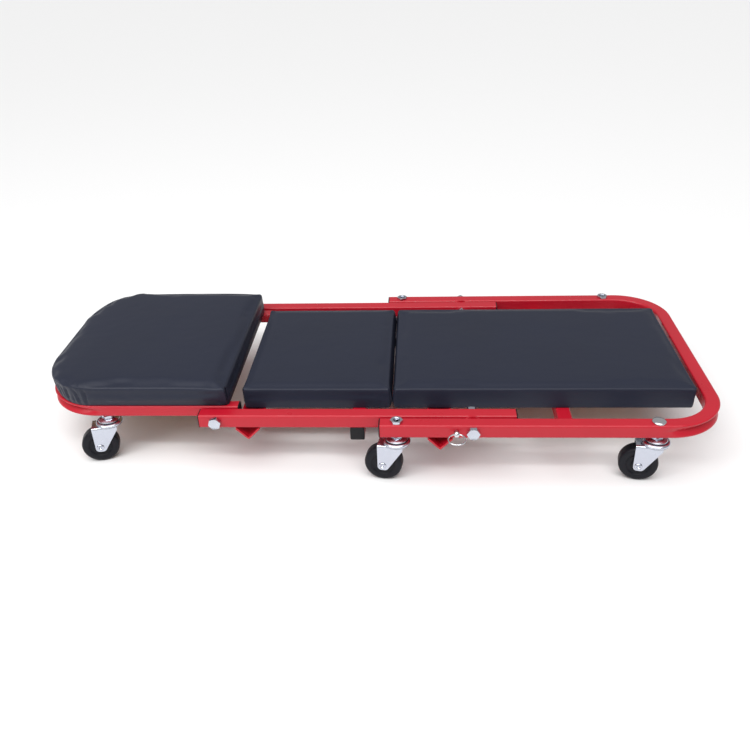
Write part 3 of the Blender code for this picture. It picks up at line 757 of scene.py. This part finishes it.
def build_lock():
    pin_low, pin_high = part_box("lock_pin")
    ball = 0.0042
    ball_y = pin_low.y + ball
    at = Vector(((pin_low.x + pin_high.x) / 2, ball_y, TUBE_MID_Z))
    place = sideways(at, -1)
    tip = -(pin_high.y - ball_y)
    bevel = 0.0008
    profile = [(SMALLEST, tip), (PIN_RADIUS - bevel, tip), (PIN_RADIUS, tip + bevel)]
    profile.append((PIN_RADIUS, -0.0045))
    for k in range(13):
        angle = math.radians(-50.0 + 140.0 * k / 12)
        profile.append((max(SMALLEST, ball * math.cos(angle)), ball * math.sin(angle)))
    pin = turned("lock_pin_turned", profile, place, 48)
    reach = Vector((0.007, 0.0, 0.0))
    combine(pin, "DIFFERENCE", [round_bar("hole", at - reach, at + reach, 0.0019)])
    stands_for(pin, "lock_pin")
    build_ring(at)


def build_ring(at):
    """A split wire ring that hangs from the pin's ball at a place."""
    ring_low, ring_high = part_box("lock_ring")
    wire = 0.001
    radius = (ring_high.x - ring_low.x) / 2 - wire
    centre = (ring_low + ring_high) / 2
    droop = (centre - at).normalized()
    across = Vector((1.0, 0.0, 0.0))
    normal = across.cross(droop)
    around = 120
    split = math.radians(2.2)
    rings = []
    for k in range(around + 1):
        angle = split / 2 + (math.tau - split) * k / around
        out = droop * math.cos(angle) + across * math.sin(angle)
        size = wire * (0.82 if k in (0, around) else 1.0)
        hub = centre + out * radius
        ring = []
        for i in range(16):
            turn = math.tau * i / 16
            ring.append(hub + (out * math.cos(turn) + normal * math.sin(turn)) * size)
        rings.append(ring)
    stands_for(skinned("lock_ring_wire", rings), "lock_ring")


# ------------ casters
def build_stem(tag):
    """A threaded stem with its lower bearing cone, its washer and its hexagon collar."""
    low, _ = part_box("stem_" + tag)
    place = standing("stem_" + tag)
    on_head = tag.startswith("head")
    collar = (HEAD_MID_Z - HEAD_HALF if on_head else TUBE_BOTTOM) - GAP
    tube_top = HEAD_MID_Z + HEAD_HALF if on_head else TUBE_TOP
    end = tube_top + STEM_PROUD
    rings = circles(place, [
        (SMALLEST, low.z), (0.0066, low.z + 0.0002), (0.0076, low.z + 0.0009),
        (0.0080, 0.0530), (0.0078, 0.0536), (0.0055, 0.0537),
        (0.0055, 0.0614), (0.0132, 0.0615), (0.0141, 0.0618), (0.0143, 0.0624),
        (0.0140, 0.0631), (0.0128, 0.0637), (0.0112, 0.0643), (0.0098, 0.0647),
        (0.0089, 0.0650),
    ])
    rings += hex_rings(place, 0.0086, 0.0651, collar, math.radians(20.0))
    rings += circles(place, [
        (0.0062, collar), (STEM_RADIUS, collar + 0.0001), (STEM_RADIUS, tube_top - 0.006),
    ])
    rings += thread_rings(place, STEM_RADIUS, tube_top - 0.0055, end)
    rings += circles(place, [
        (0.0031, end), (0.0029, tube_top + 0.0018), (0.0028, tube_top - 0.0150),
        (SMALLEST, tube_top - 0.0160),
    ])
    stands_for(skinned("stem_" + tag + "_turned", rings), "stem_" + tag)


def build_head_nut(node, place, height):
    """A small round collar, low enough for its pocket in the head pad."""
    inner = 0.0043
    bevel = 0.0004
    profile = [
        (inner, bevel), (0.0045, 0.0), (0.0049, 0.0), (HEAD_NUT_RADIUS, 0.0003),
        (HEAD_NUT_RADIUS, height - bevel), (0.0048, height), (0.0045, height),
        (inner, height - bevel),
    ]
    stands_for(turned(node + "_turned", profile, place, 64, loop=True), node)


def build_domed_nut(node, place, edge, height):
    """A smooth cap nut with a rim and a domed top."""
    rim = 0.0009
    hollow = 0.0012
    profile = [
        (SMALLEST, hollow), (0.0045, hollow), (0.0055, 0.0), (edge - 0.0004, 0.0),
        (edge, 0.0004), (edge, rim),
    ]
    count = 12
    for k in range(1, count):
        angle = math.pi / 2 * k / count
        profile.append((edge * math.cos(angle), rim + (height - rim) * math.sin(angle)))
    profile.append((SMALLEST, height))
    stands_for(turned(node + "_pressed", profile, place, 64), node)


def build_stem_nut(tag):
    node = "stem_nut_" + tag
    low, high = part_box(node)
    place = standing(node, low.z)
    height = high.z - low.z
    if tag.startswith("head"):
        build_head_nut(node, place, height)
    elif tag == "rear_near":
        build_domed_nut(node, place, (high.x - low.x) / 2, height)
    else:
        turn = {"front_near": 0.0, "front_far": 0.3, "rear_far": 0.12}[tag]
        corner = max(high.x - low.x, high.y - low.y) / 2
        nut_piece(node, place, corner, height, STEM_BORE, turn)


def facing(tag):
    """The turn that brings the X axis to the line from a caster's wheel to its stem."""
    stem = middle("stem_" + tag)
    wheel = middle("caster_wheel_" + tag)
    return Matrix.Rotation(math.atan2(stem.y - wheel.y, stem.x - wheel.x), 4, "Z")


def build_fork(tag):
    """A raceway cup on a channel of sheet steel cut to two tapered legs."""
    node = "caster_fork_" + tag
    stem = middle("stem_" + tag)
    wheel = middle("caster_wheel_" + tag)
    trail = (Vector((wheel.x, wheel.y)) - Vector((stem.x, stem.y))).length
    place = standing("stem_" + tag) @ facing(tag)
    half, thick, bend, top, foot = 0.0124, 0.0022, 0.0032, 0.0560, 0.010
    inner = half - thick
    small = bend - thick + 0.0004
    section = [
        (half, foot), (half, top), (-half, top), (-half, foot),
        (-inner, foot), (-inner, top - thick), (inner, top - thick), (inner, foot),
    ]
    section = ring_outline(section, [0, bend, bend, 0, 0, small, small, 0], 6)
    along_x = place @ Matrix(((0, 0, 1, 0), (1, 0, 0, 0), (0, 1, 0, 0), (0, 0, 0, 1)))
    channel = prism(node + "_pressed", section, along_x @ upright((0, 0, -0.008)), 0.036)
    back = 0.0240
    front = 0.0092
    corners = [
        (-back, 0.0600), (-back, 0.0185), (back - 2 * trail - 0.001, 0.0178),
        (front, 0.0505), (front, 0.0600),
    ]
    outline = ring_outline(corners, [0, 0.0064, 0.0062, 0.003, 0], 8)
    flat = place @ Matrix.Rotation(math.pi / 2, 4, "X")
    combine(channel, "INTERSECT", [prism("outline", outline, flat, 0.04)])
    cup = [
        (0.0060, 0.0545), (0.0148, 0.0545), (0.0160, 0.0549), (0.0170, 0.0557),
        (0.0174, 0.0566), (0.0171, 0.0571), (0.0171, 0.0574), (0.0178, 0.0579),
        (0.0180, 0.0587), (0.0177, 0.0595), (0.0168, 0.0603), (0.0158, 0.0608),
        (0.0149, 0.0610), (0.0145, 0.0606), (0.0138, 0.0590), (0.0060, 0.0588),
    ]
    combine(channel, "UNION", [turned("cup", cup, place, 80, loop=True)])
    axle = place @ Vector((-trail, 0.0, wheel.z))
    across = place.to_3x3() @ Vector((0.0, 0.02, 0.0))
    king_low, king_high = (place @ Vector((0, 0, z)) for z in (0.050, 0.0575))
    combine(channel, "DIFFERENCE", [
        round_bar("hole", axle - across, axle + across, 0.0032),
        round_bar("king", king_low, king_high, 0.0063, 48),
    ])
    soften(channel, 0.00035, 40.0)
    stands_for(channel, node)


def both_faces(side):
    """A profile of (radius, distance) points and its mirror image beyond the middle."""
    return side + [(radius, -distance) for radius, distance in reversed(side)]


def build_wheel(tag, place):
    low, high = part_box("caster_wheel_" + tag)
    radius = (high.z - low.z) / 2
    side = [
        (0.0033, 0.0090), (0.0037, 0.0096), (0.0078, 0.0096), (0.0085, 0.0093),
        (0.0089, 0.0084), (0.0093, 0.0076), (0.0101, 0.0072), (0.0138, 0.0072),
        (0.0148, 0.0075), (0.0154, 0.0083), (0.0160, 0.0089), (0.0170, 0.0092),
        (0.0205, 0.0092), (0.0220, 0.0090), (0.0232, 0.0085), (0.0241, 0.0077),
        (0.0246, 0.0067), (0.0249, 0.0055), (radius - 0.00003, 0.0035), (radius, 0.0004),
    ]
    piece = turned(f"caster_wheel_{tag}_moulded", both_faces(side), place, 96, loop=True)
    stands_for(piece, "caster_wheel_" + tag)


def build_axle(tag, place):
    """A rivet whose two heads are rings round a dimple."""
    side = [
        (SMALLEST, 0.0129), (0.0014, 0.0129), (0.0018, 0.0133), (0.0021, 0.0140),
        (0.0026, 0.0144), (0.0033, 0.0143), (0.0043, 0.0138), (0.0049, 0.0131),
        (0.0050, 0.0127), (0.0030, 0.0126),
    ]
    piece = turned(f"caster_axle_{tag}_riveted", both_faces(side), place, 48)
    stands_for(piece, "caster_axle_" + tag)


def build_casters():
    for tag in CASTERS:
        build_stem(tag)
        build_stem_nut(tag)
        build_fork(tag)
        hub = upright(middle("caster_wheel_" + tag)) @ (facing(tag) @ lying((0, 0, 0)))
        build_wheel(tag, hub)
        build_axle(tag, hub)


# ------------ pads
class Pad:
    """Where one padded section lies, how it is rounded and how full it is.

    left and right are the reach of those corners' rounding along and across. The shape
    holds: out and bulge, each side's stand-out and bulge; roll, the top edge's radius;
    drop, how far the sides' top is under the CAD top; cap, how far Cloth may move a point
    sideways and up; lip, the turned-under width; spacing, the grid's; crown, the dome;
    tuck, the corner folds' depth; ear, the corners' stand-out; dip, the ends' fall.
    """

    def __init__(self, tag, left, right, **shape):
        self.tag = tag
        self.left = left
        self.right = right
        vars(self).update(shape)
        self.low, self.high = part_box(tag + "_cushion")
        self.board_low, self.board_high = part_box(tag + "_board")
        self.bottom = self.board_low.z
        self.top = self.high.z - self.drop
        self.half_x = (self.high.x - self.low.x) / 2
        self.half_y = (self.high.y - self.low.y) / 2
        self.centre = (self.low + self.high) / 2


def spread(low, high, spacing):
    """Places from low to high, close together next to both ends."""
    edge = (0.0, 0.0012, 0.0028, 0.0050)
    first = low + edge[-1]
    last = high - edge[-1]
    count = max(2, round((last - first) / spacing))
    found = [low + e for e in edge[:-1]]
    found += [first + (last - first) * i / count for i in range(count + 1)]
    found += [high - e for e in reversed(edge[:-1])]
    return found


def corner_share(pad, dx, dy):
    """How far a point is into its corner, along and across, from 0 to 1."""
    reach_x, reach_y = pad.left if dx < 0 else pad.right
    u = (abs(dx) - (pad.half_x - reach_x)) / reach_x
    v = (abs(dy) - (pad.half_y - reach_y)) / reach_y
    return u, v


def rounded_place(pad, dx, dy):
    """Move a point of the full rectangle into the outline with rounded corners."""
    u, v = corner_share(pad, dx, dy)
    if u <= 0 or v <= 0:
        return dx, dy
    reach_x, reach_y = pad.left if dx < 0 else pad.right
    out_x = pad.half_x - reach_x + reach_x * u * math.sqrt(1 - v * v / 2)
    out_y = pad.half_y - reach_y + reach_y * v * math.sqrt(1 - u * u / 2)
    return math.copysign(out_x, dx), math.copysign(out_y, dy)


def outward(pad, side, share):
    """How far one side stands out from the CAD box at a share of the height."""
    low, high = pad.out[side]
    return low + (high - low) * share + pad.bulge[side] * math.sin(math.pi * share**0.7)


def rolled(pad, dx, dy, depth):
    """Bend the top edge into a roll: how far in and down a point moves."""
    from_edge = min(pad.half_x - abs(dx), pad.half_y - abs(dy))
    u = 1.0 - from_edge / pad.roll
    v = 1.0 - depth / pad.roll
    if u <= 0 or v <= 0:
        return 0.0, 0.0
    new_u = u * math.sqrt(1 - v * v / 2)
    new_v = v * math.sqrt(1 - u * u / 2)
    return pad.roll * (u - new_u), pad.roll * (v - new_v)


def pad_cage(pad):
    """A closed grid of quads in the pad's shape before it swells."""
    xs = spread(pad.low.x, pad.high.x, pad.spacing)
    ys = spread(pad.low.y, pad.high.y, pad.spacing)
    rise = pad.top - pad.bottom
    shares = (0.0, 0.06, 0.2, 0.36, 0.52, 0.66, 0.78, 0.88, 0.95, 1.0)
    shape = bmesh.new()
    verts = {}
    last = (len(xs) - 1, len(ys) - 1, len(shares) - 1)

    def vert(i, j, k):
        if (i, j, k) not in verts:
            share = shares[k]
            plain_x = xs[i] - pad.centre.x
            plain_y = ys[j] - pad.centre.y
            dx, dy = rounded_place(pad, plain_x, plain_y)
            inwards, down = rolled(pad, plain_x, plain_y, rise * (1.0 - share))
            end = outward(pad, "left" if dx < 0 else "right", share) - inwards
            edge = outward(pad, "near" if dy < 0 else "far", share) - inwards
            dx *= 1.0 + end / pad.half_x
            dy *= 1.0 + edge / pad.half_y
            at = (pad.centre.x + dx, pad.centre.y + dy, pad.bottom + rise * share - down)
            verts[i, j, k] = shape.verts.new(at)
        return verts[i, j, k]

    def face(a, b, corner):
        square = ((a, b), (a + 1, b), (a + 1, b + 1), (a, b + 1))
        shape.faces.new([vert(*corner(c, d)) for c, d in square])

    for i in range(last[0]):
        for j in range(last[1]):
            for k in (0, last[2]):
                face(i, j, lambda a, b: (a, b, k))
    for k in range(last[2]):
        for i in range(last[0]):
            for j in (0, last[1]):
                face(i, k, lambda a, b: (a, j, b))
        for j in range(last[1]):
            for i in (0, last[0]):
                face(j, k, lambda a, b: (i, a, b))
    return new_piece(pad.tag + "_cushion_vinyl", shape)


def puff(piece, pad):
    """Blow the cover up with Cloth, its lower edge held, and cap how far it moves."""
    held = piece.vertex_groups.new(name="held")
    for vert in piece.data.vertices:
        share = 1.0 if vert.co.z < pad.board_high.z + HELD_OVER_BOARD else 0.0
        held.add([vert.index], share, "REPLACE")
    cloth = piece.modifiers.new("Swell", "CLOTH")
    settings = set_up(
        cloth.settings, quality=6, mass=0.3, tension_stiffness=25, compression_stiffness=25,
        shear_stiffness=12, bending_stiffness=0.4, use_pressure=True,
        uniform_pressure_force=4.0, vertex_group_mass="held",
    )
    settings.effector_weights.gravity = 0.0
    set_up(cloth.point_cache, frame_start=1, frame_end=SWELL_FRAMES)
    start = [vert.co.copy() for vert in piece.data.vertices]
    scene = bpy.context.scene
    for number in range(1, SWELL_FRAMES + 1):
        scene.frame_set(number)
    graph = bpy.context.evaluated_depsgraph_get()
    moved = [vert.co.copy() for vert in piece.evaluated_get(graph).data.vertices]
    piece.modifiers.clear()
    scene.frame_set(1)
    cap_flat, cap_up = pad.cap
    for vert, old, new in zip(piece.data.vertices, start, moved):
        step = new - old
        flat_step = Vector((step.x, step.y))
        if flat_step.length > cap_flat:
            flat_step *= cap_flat / flat_step.length
        rise = min(max(step.z, -cap_up), cap_up)
        vert.co = old + Vector((flat_step.x, flat_step.y, rise))
    piece.data.update()


def bell(value, width):
    return math.exp(-((value / width) ** 2))


def settle(piece, pad):
    """The dome, tucks at the corners, soft hollows, and a flat underside."""
    rise = pad.top - pad.bottom
    for vert in piece.data.vertices:
        at = vert.co
        if at.z < pad.bottom + 0.0004:
            at.z = pad.bottom
            continue
        dx = at.x - pad.centre.x
        dy = at.y - pad.centre.y
        upper = min(1.0, (at.z - pad.bottom) / rise)
        across = max(0.0, 1.0 - abs(dy / (pad.half_y + 0.004)) ** 4)
        along = max(0.0, 1.0 - abs(dx / (pad.half_x + 0.004)) ** 4)
        lift = pad.crown * across**0.5 * along**0.5 - pad.dip * abs(dx / pad.half_x) ** 4
        at.z += lift * max(0.0, upper - 0.6) / 0.4
        in_corner = bell(pad.half_x - abs(dx), 0.012) * bell(pad.half_y - abs(dy), 0.012)
        at.x += math.copysign(pad.ear * upper * in_corner, dx)
        depth = tucks(pad, dx, dy, upper)
        if depth:
            out = Vector((dx, dy)).normalized()
            at.x -= out.x * depth
            at.y -= out.y * depth
        soft = noise.noise(Vector((at.x * 22.0, at.y * 22.0, pad.centre.x * 50.0)))
        fine = noise.noise(Vector((at.x * 70.0, at.y * 70.0, at.z * 90.0)))
        if upper > 0.9:
            at.z += 0.0003 * soft + 0.00008 * fine
        elif abs(dy) > pad.half_y - 0.004:
            at.y += math.copysign(0.0003 * fine, dy)
    piece.data.update()


def tucks(pad, dx, dy, upper):
    """How deep the cover is drawn in by its folds at a place near a corner."""
    u, v = corner_share(pad, dx, dy)
    if u <= 0 or v <= 0:
        return 0.0
    rim = math.hypot(u, v)
    edge = min(1.0, max(0.0, (rim - 0.80) / 0.12))
    turn = math.atan2(u, v) / (math.pi / 2)
    low_fade = min(1.0, 0.35 + upper * 2.2)
    if pad.tag == "head" and dx < 0:
        fade = min(1.0, max(0.0, (0.92 - upper) / 0.25)) * low_fade
        depth = 0.0
        for index in range(8):
            share = 0.04 + 0.075 * index + 0.016 * math.sin(index * 2.7 + dy * 9.0)
            lean = 0.05 * math.sin(index * 1.9) * (upper - 0.5)
            size = 0.0013 + 0.0006 * math.sin(index * 2.3 + dy * 40.0)
            depth += bell(turn - share - lean, 0.017) * size
            depth -= bell(turn - share - lean - 0.032, 0.020) * size * 0.5
        return depth * fade * edge
    fade = min(1.0, max(0.0, (1.0 - upper) / 0.2)) * low_fade
    lean = 0.16 * (0.6 - upper)
    fold = bell(turn - 0.55 - lean, 0.11) - 0.5 * bell(turn - 0.27 - lean, 0.13)
    return edge * pad.tuck * fold * fade


def board_outline(pad, inset):
    """The outline of the board, moved in by inset."""
    x = (pad.board_high.x - pad.board_low.x) / 2 - inset
    y = (pad.board_high.y - pad.board_low.y) / 2 - inset
    trim = inset + pad.high.x - pad.board_high.x
    corners = ((-1, -1, pad.left), (1, -1, pad.right), (1, 1, pad.right), (-1, 1, pad.left))
    outline = []
    for sx, sy, reach in corners:
        reach_x = max(0.003, reach[0] - trim)
        reach_y = max(0.003, reach[1] - trim)
        first = math.atan2(sy, sx) - math.pi / 4
        for k in range(13):
            angle = first + math.pi / 2 * k / 12
            outline.append((
                pad.centre.x + sx * (x - reach_x) + reach_x * math.cos(angle),
                pad.centre.y + sy * (y - reach_y) + reach_y * math.sin(angle),
            ))
    return outline


def nut_pocket(label, room):
    """Room round a stem nut that stands up under the head pad."""
    node = "stem_nut_head_" + label
    low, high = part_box(node)
    radius = HEAD_NUT_RADIUS + room
    profile = [(radius, low.z - 0.002), (radius, high.z + 0.0006)]
    return turned("pocket", profile, standing(node), 64)


def build_pad(pad):
    """The vinyl cover with its underside cut out for a board, and the board."""
    cushion = pad_cage(pad)
    puff(cushion, pad)
    rounding = cushion.modifiers.new("Round", "SUBSURF")
    rounding.levels = 2 if pad.tag == "head" else 1
    rounding.render_levels = rounding.levels
    baked(cushion)
    settle(cushion, pad)
    skin_thick = 0.0012
    gap = 0.0002
    inset = 0.0030
    floor = pad.bottom + skin_thick
    room = slab("room", board_outline(pad, inset - gap), floor, pad.low.z)
    way = slab("way", board_outline(pad, pad.lip), pad.bottom - 0.002, pad.bottom + 0.002)
    combine(cushion, "DIFFERENCE", [room, way])
    outline = board_outline(pad, inset)
    board = slab(pad.tag + "_board_ply", outline, floor + gap, pad.board_high.z)
    if pad.tag == "head":
        for _, label in SIDES:
            combine(cushion, "DIFFERENCE", [nut_pocket(label, 0.0001)])
            combine(board, "DIFFERENCE", [nut_pocket(label, 0.0005)])
    soften(board, 0.0006)
    stands_for(board, pad.tag + "_board")
    stands_for(cushion, pad.tag + "_cushion")


def build_pads():
    """Each side's out is its stand-out from the CAD box at the bottom and at the top."""
    crisp = (0.0045, 0.0045)
    plain = (0.0016, 0.0010)
    flat = dict(
        roll=0.0024, drop=-0.0004, cap=(0.0006, 0.0012), lip=0.020, spacing=0.0062,
        crown=0.0008, tuck=0.0011, ear=0.0012, dip=0.0,
    )
    for tag, joined, free in (("body", "left", "right"), ("middle", "right", "left")):
        out = {joined: (0.0006, 0.0), free: (0.0004, 0.0018), "near": plain, "far": plain}
        bulge = {joined: 0.0030, free: 0.0006, "near": 0.0006, "far": 0.0006}
        build_pad(Pad(tag, crisp, crisp, out=out, bulge=bulge, **flat))
    build_pad(Pad(
        "head", (0.072, 0.092), (0.009, 0.009), roll=0.0040, drop=0.0008, lip=0.026,
        cap=(0.0010, 0.0020), spacing=0.0064, crown=0.0026, tuck=0.0032, ear=0.0, dip=0.0034,
        out={
            "left": (-0.0005, 0.0036), "right": (-0.0010, -0.0020),
            "near": (-0.0010, 0.0056), "far": (-0.0010, 0.0026),
        },
        bulge={"left": 0.0010, "right": 0.0008, "near": 0.0008, "far": 0.0012},
    ))


# ------------ stage
def build_floor():
    shape = bmesh.new()
    bmesh.ops.create_grid(shape, x_segments=1, y_segments=1, size=60.0)
    floor = new_piece("floor", shape)
    pale = Surface("floor", Roughness=0.75, Base_Color=(0.90, 0.90, 0.90, 1.0))
    floor.data.materials.append(pale.made)


def build_lights():
    """A dim white world, a wide soft sun and two area lights, (place, power, width, depth)."""
    world = bpy.data.worlds.new("studio")
    bpy.context.scene.world = world
    world.use_nodes = True
    backdrop = world.node_tree.nodes["Background"]
    backdrop.inputs["Color"].default_value = (1.0, 1.0, 1.0, 1.0)
    backdrop.inputs["Strength"].default_value = 0.40
    bpy.context.scene.view_settings.view_transform = "Standard"

    dome = set_up(bpy.data.lights.new("dome", "SUN"), energy=2.1, angle=math.radians(75.0))
    added("dome", dome).rotation_euler = (math.radians(20.0), math.radians(-8.0), 0.0)

    lamps = {
        "key": ((-0.1, -1.05, 1.75), 13.0, 2.4, 0.18),
        "side": ((-1.3, -1.0, 1.0), 4.0, 0.6, 0.6),
    }
    for name, (at, power, wide, deep) in lamps.items():
        data = bpy.data.lights.new(name, "AREA")
        set_up(data, shape="RECTANGLE", energy=power, size=wide, size_y=deep)
        lamp = added(name, data)
        lamp.location = at
        aim = Vector((0.0, 0.0, 0.05)) - Vector(at)
        lamp.rotation_euler = aim.to_track_quat("-Z", "Y").to_euler()


def build_camera():
    """The camera looks along +Y, turned by its yaw, down by its pitch and over by its roll."""
    data = set_up(bpy.data.cameras.new("camera"), lens=CAMERA_LENS, sensor_width=36.0)
    camera = added("camera", data)
    yaw = Matrix.Rotation(CAMERA_YAW, 4, "Z")
    pitch = Matrix.Rotation(math.pi / 2 - CAMERA_PITCH, 4, "X")
    roll = Matrix.Rotation(CAMERA_ROLL, 4, "Z")
    camera.matrix_world = upright(CAMERA_AT) @ yaw @ pitch @ roll
    bpy.context.scene.camera = camera


build_floor()
build_lights()
build_camera()
build_base_frame()
build_middle_frame()
build_head_frame()
build_end_caps()
build_pivots()
build_lock()
build_casters()
build_pads()
